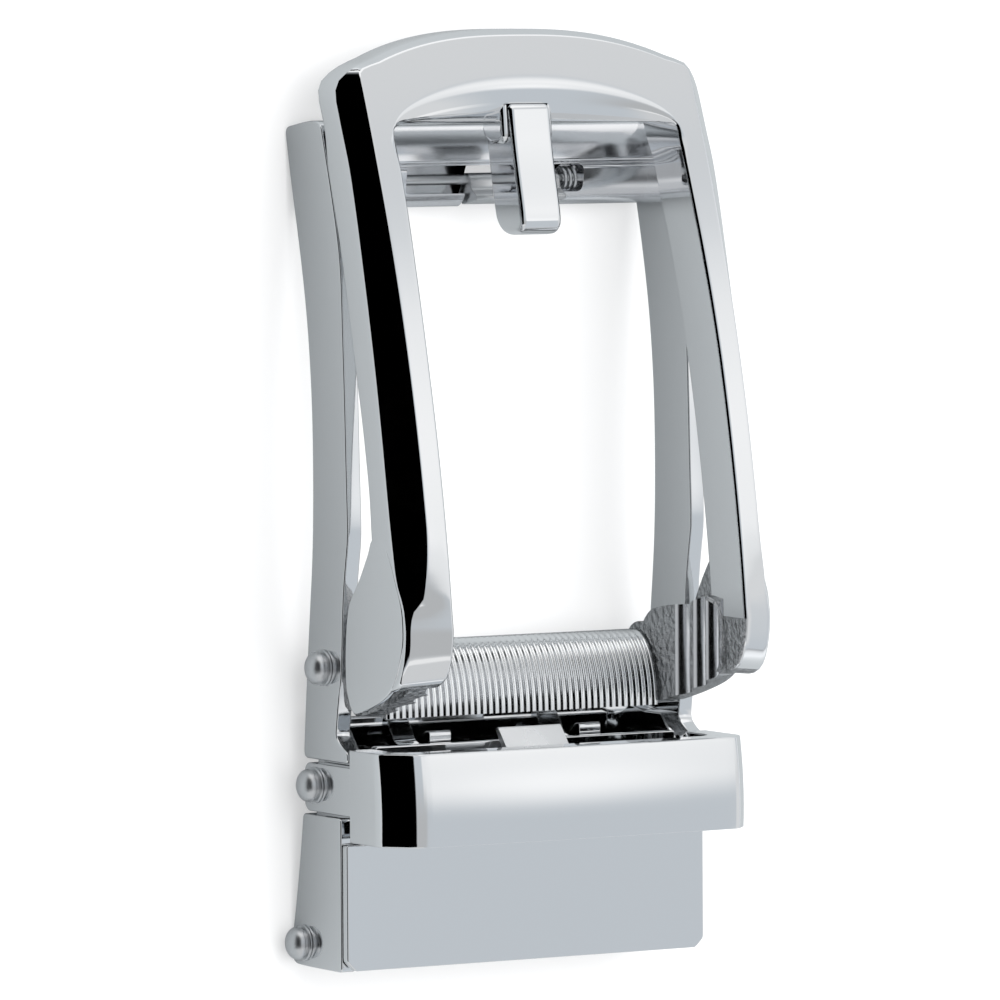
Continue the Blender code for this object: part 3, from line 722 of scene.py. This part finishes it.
def frame_sections():
    """Sections of the left half of the ring, from the foot to the middle of the arch."""
    sections = []
    shape = (FOOT_CHAMFER, FOOT_BACK, FOOT_WINDOW, FOOT_FACE, FOOT_SIDE, FOOT_SOFTNESS)
    for inside, outside, z_inside, z_outside in FOOT_ROWS:
        sections.append(leg_section(inside, outside, z_inside, z_outside, *shape))
    for y, window, face, half, depth, z_back, soft, drop in LEG_ROWS:
        z = face_z(y)
        sections.append(leg_section(y, y, z, z - drop, depth, z_back, window, face, half, soft))
    for x_in, y_in, x_face, y_face, x_out, y_out in CORNER_ROWS:
        depth = max(RIM, x_out - CHAMFER_INSIDE)
        sections.append(top_section(-x_in, y_in, -x_face, y_face, -x_out, y_out, depth))
    for x in np.linspace(-ARCH_START, 0.0, ARCH_STEPS):
        x_face = x * FACE_STRETCH
        x_out = x * OUTSIDE_STRETCH
        sections.append(top_section(x, WINDOW_TOP, x_face, arch_y(x_face) - RIM, x_out, arch_y(x_out), RIM))
    return sections


def smooth_rows(rows, step):
    """Rows of points with more rows between them, on smooth curves that never overshoot."""
    rows = np.array(rows)
    lengths = np.linalg.norm(np.diff(rows.mean(axis=1), axis=0), axis=1)
    slopes = np.diff(rows, axis=0) / lengths[:, None, None]
    first = (2 * lengths[1:] + lengths[:-1])[:, None, None]
    second = (lengths[1:] + 2 * lengths[:-1])[:, None, None]
    same = slopes[:-1] * slopes[1:] > 1e-12
    safe_before = np.where(same, slopes[:-1], 1.0)
    safe_after = np.where(same, slopes[1:], 1.0)
    mean = (first + second) / (first / safe_before + second / safe_after)
    tangents = np.concatenate([slopes[:1], np.where(same, mean, 0.0), slopes[-1:]])
    result = []
    for i, length in enumerate(lengths):
        count = max(1, ceil(length / step))
        for k in range(count):
            t = k / count
            result.append((2 * t ** 3 - 3 * t ** 2 + 1) * rows[i]
                          + (t ** 3 - 2 * t ** 2 + t) * length * tangents[i]
                          + (3 * t ** 2 - 2 * t ** 3) * rows[i + 1]
                          + (t ** 3 - t ** 2) * length * tangents[i + 1])
    result.append(rows[-1])
    return result


def corner(before, here, after, reach, steps):
    """Points that round a corner of a section."""
    back = before - here
    ahead = after - here
    size = min(reach, SHARE_OF_SIDE * back.length, SHARE_OF_SIDE * ahead.length)
    return bend(here + back.normalized() * size, here, here + ahead.normalized() * size, steps)


def frame_profile(row):
    """A finely drawn section of the frame from its seven corner points and its softness."""
    inner_back, window, middle, rim, face, side, outer_back, soft = [Vector(p) for p in row]
    control = middle * 2 - (window + rim) * 0.5
    hollow = bend(window, control, rim, HOLLOW_STEPS)
    across = []
    for k in range(1, FACE_STEPS):
        t = k / FACE_STEPS
        point = rim.lerp(face, t)
        base = face_z(rim.y) + (face_z(face.y) - face_z(rim.y)) * t
        point.z += face_z(point.y) - base
        across.append(point)
    profile = corner(outer_back, inner_back, window, BACK_ROUNDING, 4)
    profile += corner(inner_back, window, hollow[1], WINDOW_ROUNDING, 2)
    profile += hollow[1:-1]
    profile += corner(hollow[-2], rim, across[0], WINDOW_ROUNDING, 2)
    profile += across
    profile += corner(across[-1], face, side, abs(soft.x), 5)
    profile += corner(face, side, outer_back, SIDE_ROUNDING, 3)
    profile += corner(side, outer_back, inner_back, BACK_ROUNDING, 4)
    return profile


def build_frame(chrome, soft, cast):
    """The polished ring with the plates of its ears, and the fluted cast blocks inside the ears."""
    left = frame_sections()
    ring = left + [[(-x, y, z) for x, y, z in section] for section in left[:-1][::-1]]
    band = loft([frame_profile(row) for row in smooth_rows(ring, RING_STEP)])
    half = PRONG_HALF_WIDTH + NOTCH_CLEARANCE
    notch = box(-half, half, NOTCH_BOTTOM, PRONG_ROOT + NOTCH_CLEARANCE)
    collar = slab(COLLAR_OUTLINE, -COLLAR_HALF_WIDTH, COLLAR_HALF_WIDTH, COLLAR_EDGE, "X", COLLAR_CORNER)
    for part in (band, collar):
        cut(part, prism(notch, NOTCH_FLOOR, ABOVE_ALL, "Z"))
    parts = [band, collar]
    for side, end in ((-1, EAR_LEFT_END), (1, EAR_RIGHT_END)):
        width = span(side, EAR_INSIDE, EAR_OUTSIDE)
        parts.append(slab(EAR_BODY + end, *width, edge=EAR_EDGE, reach=EAR_CORNER))
    shell = piece("frame_shell", parts, "frame_body", ["front_frame"], chrome)
    shell.data.materials.append(cast)
    for face in shell.data.polygons:
        middle = face.center / MM
        inward = face.normal.x * middle.x < -CAST_INWARD * abs(middle.x)
        under = face.normal.y < -CAST_DOWN and abs(middle.x) < CAST_REACH
        if middle.y < CAST_LIMIT and (inward or under):
            face.material_index = 1
    blocks = []
    for side in (-1, 1):
        width = span(side, BLOCK_INSIDE, BLOCK_OUTSIDE)
        block = prism(rounded(BLOCK_OUTLINE, BLOCK_CORNER), *width)
        merge(block, cylinder(FRAME_PIVOT, LOBE_RADIUS, *width))
        for z, x, radius in FLUTES:
            cut(block, prism(disc(z, side * x, radius), *FLUTE_SPAN, "Y"))
        blocks.append(bevelled(block, BLOCK_EDGE, 2))
        core = rounded(CORE_OUTLINE, CORE_CORNER)
        blocks.append(prism(core, *span(side, CORE_INSIDE, EAR_INSIDE + OVERLAP)))
    ears = piece("frame_ear_blocks", blocks, "frame_body", ["front_frame"], cast)
    ears.data.materials.append(soft)
    least, most = FLUTE_INWARD
    for face in ears.data.polygons:
        inward = -face.normal.x if face.center.x > 0 else face.normal.x
        fluted = least < inward < most and abs(face.normal.z) > FLUTE_LEAN
        if fluted and face.center.z > FLUTES_START * MM:
            face.material_index = 1


def build_prong(chrome):
    body = prism(rounded(PRONG_OUTLINE, PRONG_CORNER), -PRONG_HALF_WIDTH, PRONG_HALF_WIDTH)
    piece("prong_tongue", [bevelled(body, PRONG_EDGE, 5)], "frame_body", ["prong"], chrome)


def bar_outline(depth):
    """The cam bar's section, with its curved side lowered by a depth."""
    outline = [(BAR_BOTTOM, BAR_BACK + BAR_CHAMFER), (BAR_BOTTOM, BAR_EDGE_Z + BAR_BULGE - GAP)]
    for i in range(BAR_ARC_STEPS + 1):
        turn = pi / 2 * i / BAR_ARC_STEPS
        outline.append((BAR_BOTTOM + (BAR_TOP - BAR_BOTTOM - depth) * sin(turn),
                        BAR_EDGE_Z + (BAR_BULGE - depth) * cos(turn)))
    outline += [(BAR_TOP, BAR_BACK + BAR_SMALL_CHAMFER), (BAR_TOP - BAR_SMALL_CHAMFER, BAR_BACK),
                (BAR_BOTTOM + BAR_CHAMFER, BAR_BACK)]
    return outline[::-1]


def build_bar(ribbed):
    sections = []
    count = RIB_COUNT * RIB_SAMPLES
    for i in range(count + 1):
        x = -BAR_HALF_LENGTH + 2 * BAR_HALF_LENGTH * i / count
        depth = RIB_DEPTH * abs(cos(pi * i / RIB_SAMPLES)) ** RIB_NARROWING
        sections.append([(x, y, z) for y, z in bar_outline(depth)])
    bar = loft(sections)
    # the bar's look carries painted sheen: a near-white chrome colour
    piece("cam_bar", [bar], "frame_body", ["ribbed_bar"], ribbed, 60.0)


def keeper_corner(front, size):
    """Half of the loop's outside, from the side to the middle, with a chamfer-like corner."""
    side_end = Vector((HALF_WIDTH, front - size))
    front_end = Vector((HALF_WIDTH - size, front))
    softness = KEEPER_SOFTNESS * size / KEEPER_CORNER
    chamfer = (front_end - side_end).normalized() * softness
    steps = KEEPER_CORNER_STEPS
    points = bend(side_end - Vector((0.0, softness)), side_end, side_end + chamfer, steps)
    points += bend(front_end - chamfer, front_end, front_end - Vector((softness, 0.0)), steps)
    start = HALF_WIDTH - size - KEEPER_FRONT_START
    points += [Vector((x, front)) for x in np.linspace(start, KEEPER_FRONT_END, KEEPER_FRONT_STEPS)]
    bowed = []
    for x, z in points:
        bowed.append((float(x), z - KEEPER_BOW * (x / HALF_WIDTH) ** 2))
    return bowed


def keeper_section(y):
    """The loop's section across the strap, with a crowned front."""
    middle = (KEEPER_TOP + KEEPER_BOTTOM) / 2
    half = (KEEPER_TOP - KEEPER_BOTTOM) / 2
    front = KEEPER_FRONT - KEEPER_CROWN * ((y - middle) / half - KEEPER_APEX) ** 2
    rear = KEEPER_FRONT - KEEPER_BAR
    inner = []
    for i in range(KEEPER_INNER_STEPS + 1):
        turn = pi / 2 * i / KEEPER_INNER_STEPS
        inner.append((KEEPER_INSIDE - KEEPER_INNER_CORNER * (1 - cos(turn)),
                      rear - KEEPER_INNER_CORNER * (1 - sin(turn))))
    right = [(HALF_WIDTH, KEEPER_BACK)] + keeper_corner(front, KEEPER_RIGHT_CORNER)
    left = [(-x, z) for x, z in keeper_corner(front, KEEPER_CORNER)[::-1]] + [(-HALF_WIDTH, KEEPER_BACK)]
    under_left = [(-KEEPER_INSIDE, KEEPER_BACK)] + [(-x, z) for x, z in inner]
    under_right = inner[::-1] + [(KEEPER_INSIDE, KEEPER_BACK)]
    return [(x, y, z) for x, z in right + left + under_left + under_right]


def build_keeper(chrome):
    ys = np.linspace(KEEPER_TOP, KEEPER_BOTTOM, KEEPER_ROWS)
    loop = bevelled(loft([keeper_section(float(y)) for y in ys]), PLATE_EDGE, 3, 50.0)
    parts = [loop]
    for side in (-1, 1):
        width = span(side, TAB_INSIDE, HALF_WIDTH)
        parts.append(slab(TAB_OUTLINE, *width, edge=TAB_EDGE, reach=TAB_CORNER))
    piece("keeper_loop", parts, "chassis_body", ["keeper"], chrome)


def build_flap(chrome, satin):
    """The clamp's plate with its teeth and lugs, and its lifting tongue."""
    foot = HALF_WIDTH - FLAP_CHAMFER
    bottom = TAIL_END + FLAP_SETBACK
    shoulder = KEEPER_BOTTOM - GAP
    plan = [(-foot, bottom), (foot, bottom), (HALF_WIDTH, bottom + FLAP_CHAMFER),
            (HALF_WIDTH, shoulder), (FLAP_NECK, shoulder), (FLAP_NECK, FLAP_TOP),
            (-FLAP_NECK, FLAP_TOP), (-FLAP_NECK, shoulder), (-HALF_WIDTH, shoulder),
            (-HALF_WIDTH, bottom + FLAP_CHAMFER)]
    parts = [slab(plan, FLAP_BACK, FLAP_FRONT, PLATE_EDGE, "Z", FLAP_CORNER)]
    reach = TOOTH_COUNT * TOOTH_PITCH / 2
    root = FLAP_BACK + TOOTH_OVERLAP
    teeth = [(root, -reach)]
    for i in range(TOOTH_COUNT):
        teeth.append((TOOTH_ROOT, -reach + i * TOOTH_PITCH))
        teeth.append((TOOTH_TIP, -reach + (i + 0.5) * TOOTH_PITCH))
    teeth += [(TOOTH_ROOT, reach), (root, reach)]
    parts.append(bevelled(prism(teeth, *TOOTH_BAR, "Y"), TOOTH_EDGE, 2))
    for side in (-1, 1):
        parts.append(slab(LUG_OUTLINE, *span(side, LUG_INSIDE, LUG_OUTSIDE), edge=FINE_EDGE))
    piece("clamp_plate", parts, "flap_body", ["clamp_flap"], chrome)
    tongue = slab(TONGUE_OUTLINE, -TONGUE_HALF_WIDTH, TONGUE_HALF_WIDTH, FINE_EDGE, "X", FLAP_CORNER)
    piece("clamp_tongue", [tongue], "flap_body", ["clamp_flap"], satin)


def back_edge(y):
    """Height of the back of the walls and rails."""
    rows = sorted(WALL_BACK[:-1] + RAIL_BACK)
    return float(np.interp(y, [row[0] for row in rows], [row[1] for row in rows]))


def build_chassis(chrome, soft):
    """Rails, walls, cheeks, stops, the bed and the crossbar, which is polished less sharply."""
    parts = []
    rail = RAIL_BACK[::-1] + RAIL_FRONT[::-1]
    wall = WALL_BACK + [(TAIL_END, WALL_TAIL_BACK), (TAIL_END, WALL_FRONT), (WALL_TOP, WALL_FRONT)]
    bed_rows = [row[0] for row in sorted(WALL_BACK[1:-1] + RAIL_BACK[-1:])] + [BED_END]
    bed_back = [(y, back_edge(y) + BED_INSET) for y in bed_rows]
    bed = bed_back + [(y, z + BED_THICKNESS) for y, z in bed_back][::-1]
    for side in (-1, 1):
        width = span(side, RAIL_INSIDE, HALF_WIDTH)
        parts.append(slab(rail, *width, edge=EDGE, reach=RAIL_CORNER))
        parts.append(slab(wall, *width, edge=EDGE, reach=WALL_CORNER))
        parts.append(slab(CHEEK_OUTLINE, *span(side, CHEEK_INSIDE, CHEEK_OUTSIDE), edge=EDGE))
        stop = span(side, STOP_CENTRE - STOP_HALF_WIDTH, STOP_CENTRE + STOP_HALF_WIDTH)
        parts.append(slab(STOP_OUTLINE, *stop, edge=SOFT_EDGE))
    floor = prism(rounded(bed, BED_CORNER), -BED_HALF_WIDTH, BED_HALF_WIDTH)
    pocket = box(TAIL_END - 1.0, LUG_POCKET_TOP, -1.0, LUG_POCKET_FRONT)
    for side in (-1, 1):
        cut(floor, prism(pocket, *span(side, LUG_POCKET_INSIDE, HALF_WIDTH)))
    parts.append(floor)
    bar = prism(rounded(CROSSBAR_OUTLINE, CROSSBAR_CORNER), -BED_HALF_WIDTH, BED_HALF_WIDTH)
    pocket = rounded(box(SLOT_LEFT, SLOT_RIGHT, SLOT_BOTTOM, SLOT_TOP), SLOT_CORNER)
    cut(bar, prism(pocket, SLOT_FLOOR, SLOT_FRONT, "Z"))
    slot = box(CROSSBAR_BOTTOM, SLOT_TOP, 0.0, SLOT_FRONT)
    cut(bar, prism(slot, PAWL_LEFT - GAP, PAWL_RIGHT + GAP))
    parts.append(bevelled(bar, FINE_EDGE, 2, 50.0))
    casting = piece("chassis_casting", parts, "chassis_body", ["chassis"], chrome)
    casting.data.materials.append(soft)
    for face in casting.data.polygons:
        middle = face.center / MM
        if middle.y > CROSSBAR_BOTTOM and abs(middle.x) < RAIL_INSIDE - EDGE:
            face.material_index = 1


def build_pawl(steel):
    body = slab(PAWL_OUTLINE, PAWL_LEFT, PAWL_RIGHT, FINE_EDGE, "X", PAWL_CORNER)
    piece("pawl_tooth", [body], "pawl_body", ["pawl"], steel)
    profile = [(PIN_LEFT, PIN_RADIUS - PIN_LEAD), (PIN_LEFT + PIN_LEAD, PIN_RADIUS),
               (PIN_RIGHT - PIN_LEAD, PIN_RADIUS), (PIN_RIGHT, PIN_RADIUS - PIN_LEAD)]
    piece("pawl_axle", [turned(PAWL_PIVOT, profile)], "chassis_body", ["pawl_pin"], steel)


def build_spring(steel):
    """A close coil round the pin, beside the pawl."""
    sections = []
    for i in range(SPRING_TURNS * SPRING_STEPS + 1):
        turn = 2 * pi * i / SPRING_STEPS
        x = SPRING_START + SPRING_PITCH * i / SPRING_STEPS
        ring = []
        for k in range(WIRE_SIDES):
            lean = 2 * pi * k / WIRE_SIDES
            radius = SPRING_RADIUS + SPRING_WIRE * cos(lean)
            ring.append((x + SPRING_WIRE * sin(lean),
                         PAWL_PIVOT[0] + radius * cos(turn),
                         PAWL_PIVOT[1] + radius * sin(turn)))
        sections.append(ring[::-1])
    piece("return_spring", [loft(sections)], "chassis_body", ["pawl_spring"], steel)


def rivet_profile(inner):
    """A rivet's shank from its inner end, then its rim, its neck and its dome."""
    base = HALF_WIDTH + RIVET_STANDOFF
    profile = [(inner, RIVET_RADIUS - RIVET_LEAD), (inner + RIVET_LEAD, RIVET_RADIUS),
               (base, RIVET_RADIUS)]
    profile += [(base + rise, radius) for rise, radius in RIVET_ROWS]
    for i in range(DOME_STEPS):
        turn = pi / 2 * i / DOME_STEPS
        rise = DOME_START + (DOME_TOP - DOME_START) * sin(turn)
        profile.append((base + rise, DOME_RADIUS * cos(turn)))
    return profile


def build_rivets(steel):
    """Domed rivets, each with a grooved neck under its head."""
    places = [("pivot", FRAME_PIVOT, PIVOT_SHANK_END), ("keeper", KEEPER_RIVET, CHEEK_INSIDE),
              ("clamp", CLAMP_PIVOT, LUG_INSIDE)]
    for word, centre, inner in places:
        for side, hand in ((-1, "left"), (1, "right")):
            rivet = turned(centre, rivet_profile(inner), side)
            place = word + "_" + hand
            piece("rivet_head_" + place, [rivet], "chassis_body", ["rivet_" + place], steel)


def turn_part(v):
    """The small turn that lays the part flat on its back."""
    level = cos(asin(LEAN))
    return Vector((v[0], v[1] * level - v[2] * LEAN, v[2] * level + v[1] * LEAN))


def build_camera():
    back = Vector((-sin(AZIMUTH) * cos(ELEVATION), sin(ELEVATION), cos(AZIMUTH) * cos(ELEVATION)))
    right = Vector((cos(AZIMUTH), 0.0, sin(AZIMUTH)))
    up = right.cross(-back)
    place = turn_part(Vector(AIM) + back * DISTANCE) - Vector((0.0, SHIFT_Y, SHIFT_Z))
    axes = [turn_part(v) for v in (right, up, back)]
    camera = bpy.data.cameras.new("camera")
    camera.sensor_width = SENSOR
    camera.lens = FOCAL_PIXELS / IMAGE_SIZE * SENSOR
    camera.clip_start = CLIP_START
    holder = link("camera", camera)
    matrix = Matrix(axes).transposed().to_4x4()
    matrix.translation = place * MM
    holder.matrix_world = matrix
    bpy.context.scene.camera = holder


def overhead_light():
    """A wide soft light above the part, aimed at it."""
    light = bpy.data.lights.new("overhead", "AREA")
    light.shape = "RECTANGLE"
    light.size = OVERHEAD_SIZE
    light.size_y = OVERHEAD_SIZE
    light.energy = OVERHEAD_POWER
    holder = link("overhead", light)
    holder.location = OVERHEAD_PLACE
    holder.rotation_euler = (-Vector(OVERHEAD_PLACE)).to_track_quat("-Z", "Y").to_euler()
    holder.visible_glossy = False


def build_world():
    """A grey studio with soft boxes and a dark card, as a function of the direction."""
    world = bpy.data.worlds.new("studio")
    world.use_nodes = True
    tree = world.node_tree
    place = tree.nodes.new("ShaderNodeTexCoord").outputs["Generated"]
    x, y, z = node(tree, "ShaderNodeSeparateXYZ", {}, {"Vector": place}).outputs
    colour = WALL_LIGHT
    for low, high, soft, light in STUDIO_AREAS:
        share = []
        for value, a, b, s in zip((x, y, z), low, high, soft):
            if a > -1.0:
                share.append(ramp(tree, value, a - s, a + s))
            if b < 1.0:
                share.append(ramp(tree, value, b - s, b + s, 1.0, 0.0))
        colour = blended(tree, product(tree, share), colour, light)
    tree.links.new(colour, tree.nodes["Background"].inputs["Color"])
    tree.nodes["Background"].inputs["Strength"].default_value = 1.0
    bpy.context.scene.world = world


def paper(name, near, far, glow=0.0):
    """Matt paper whose tone goes from near to far with the distance from the part; a darker near tone is
    painted shade.
    """
    made = bpy.data.materials.new(name)
    made.use_nodes = True
    tree = made.node_tree
    shader = tree.nodes["Principled BSDF"]
    shader.inputs["Roughness"].default_value = 1.0
    shader.inputs["Specular IOR Level"].default_value = 0.0
    shader.inputs["Emission Strength"].default_value = glow
    shader.inputs["Emission Color"].default_value = (1.0, 1.0, 1.0, 1.0)
    place = tree.nodes.new("ShaderNodeTexCoord").outputs["Object"]
    reach = node(tree, "ShaderNodeVectorMath", {}, {0: place}, operation="LENGTH").outputs["Value"]
    share = ramp(tree, reach, NEAR_REACH, FAR_REACH)
    tree.links.new(blended(tree, share, near, far), shader.inputs["Base Color"])
    return made


def sheet(name, width, height, look):
    """A flat sheet of paper round the origin."""
    mesh = bpy.data.meshes.new(name)
    w = width / 2
    h = height / 2
    mesh.from_pydata([(-w, -h, 0), (w, -h, 0), (w, h, 0), (-w, h, 0)], [], [(0, 1, 2, 3)])
    mesh.materials.append(look)
    return link(name, mesh)


def build_stage():
    tone = (FLOOR_TONE - FLOOR_GLOW,) * 3
    pale = paper("pale_paper", tone, tone, FLOOR_GLOW)
    floor = sheet("floor", FLOOR_SIZE, FLOOR_SIZE, pale)
    floor.location.z = FLOOR_LEVEL
    floor.visible_glossy = False
    floor.visible_shadow = False
    # painted reflection: a grey floor that only the chrome mirrors, darker near the part as painted shade
    grey = paper("grey_painted_shade_paper", FLOOR_NEAR_PAINTED_SHADE, FLOOR_FAR)
    mirrored = sheet("mirrored_floor", FLOOR_SIZE, FLOOR_SIZE, grey)
    mirrored.location.z = MIRRORED_LEVEL
    # painted reflection: a black sheet left of the part that only the chrome mirrors, over the pale floor
    black = paper("black_painted_reflection_paper", BLACK, BLACK)
    dark = sheet("dark_floor", DARK_FLOOR_REACH, 2 * DARK_FLOOR_REACH, black)
    dark.location.x = -DARK_FLOOR_REACH / 2 - DARK_FLOOR_START
    for item in (mirrored, dark):
        item.visible_camera = False
        item.visible_diffuse = False
        item.visible_shadow = False
    overhead_light()
    build_world()
    bpy.context.scene.view_settings.view_transform = "Standard"


def main():
    chrome = metal("mirror_chrome", colour=(0.80, 0.81, 0.82), roughness=0.03, wobble=0.0006, haze=0.03)
    soft = metal("soft_chrome", colour=(0.78, 0.79, 0.81), roughness=0.16, wobble=0.0006, haze=0.05)
    cast = metal("cast_chrome", colour=(0.55, 0.56, 0.57), roughness=0.12, wobble=0.02, haze=0.1,
                 grain=(1500.0, 0.5))
    # the ribbed bar's rougher satin finish is real; its near-white colour, brighter than the other chrome,
    # is painted sheen
    ribbed = metal("ribbed_chrome_painted_sheen", colour=(0.96, 0.965, 0.97), roughness=0.1, wobble=0.001, haze=0.08)
    satin = metal("satin_chrome", colour=(0.84, 0.85, 0.86), roughness=0.25, wobble=0.0008, haze=0.1)
    steel = metal("bright_steel", colour=(0.66, 0.67, 0.68), roughness=0.3, wobble=0.001, haze=0.1)
    build_chassis(chrome, soft)
    build_frame(chrome, soft, cast)
    build_prong(chrome)
    build_bar(ribbed)
    build_keeper(chrome)
    build_flap(chrome, satin)
    build_pawl(steel)
    build_spring(steel)
    build_rivets(steel)
    build_camera()
    build_stage()


main()
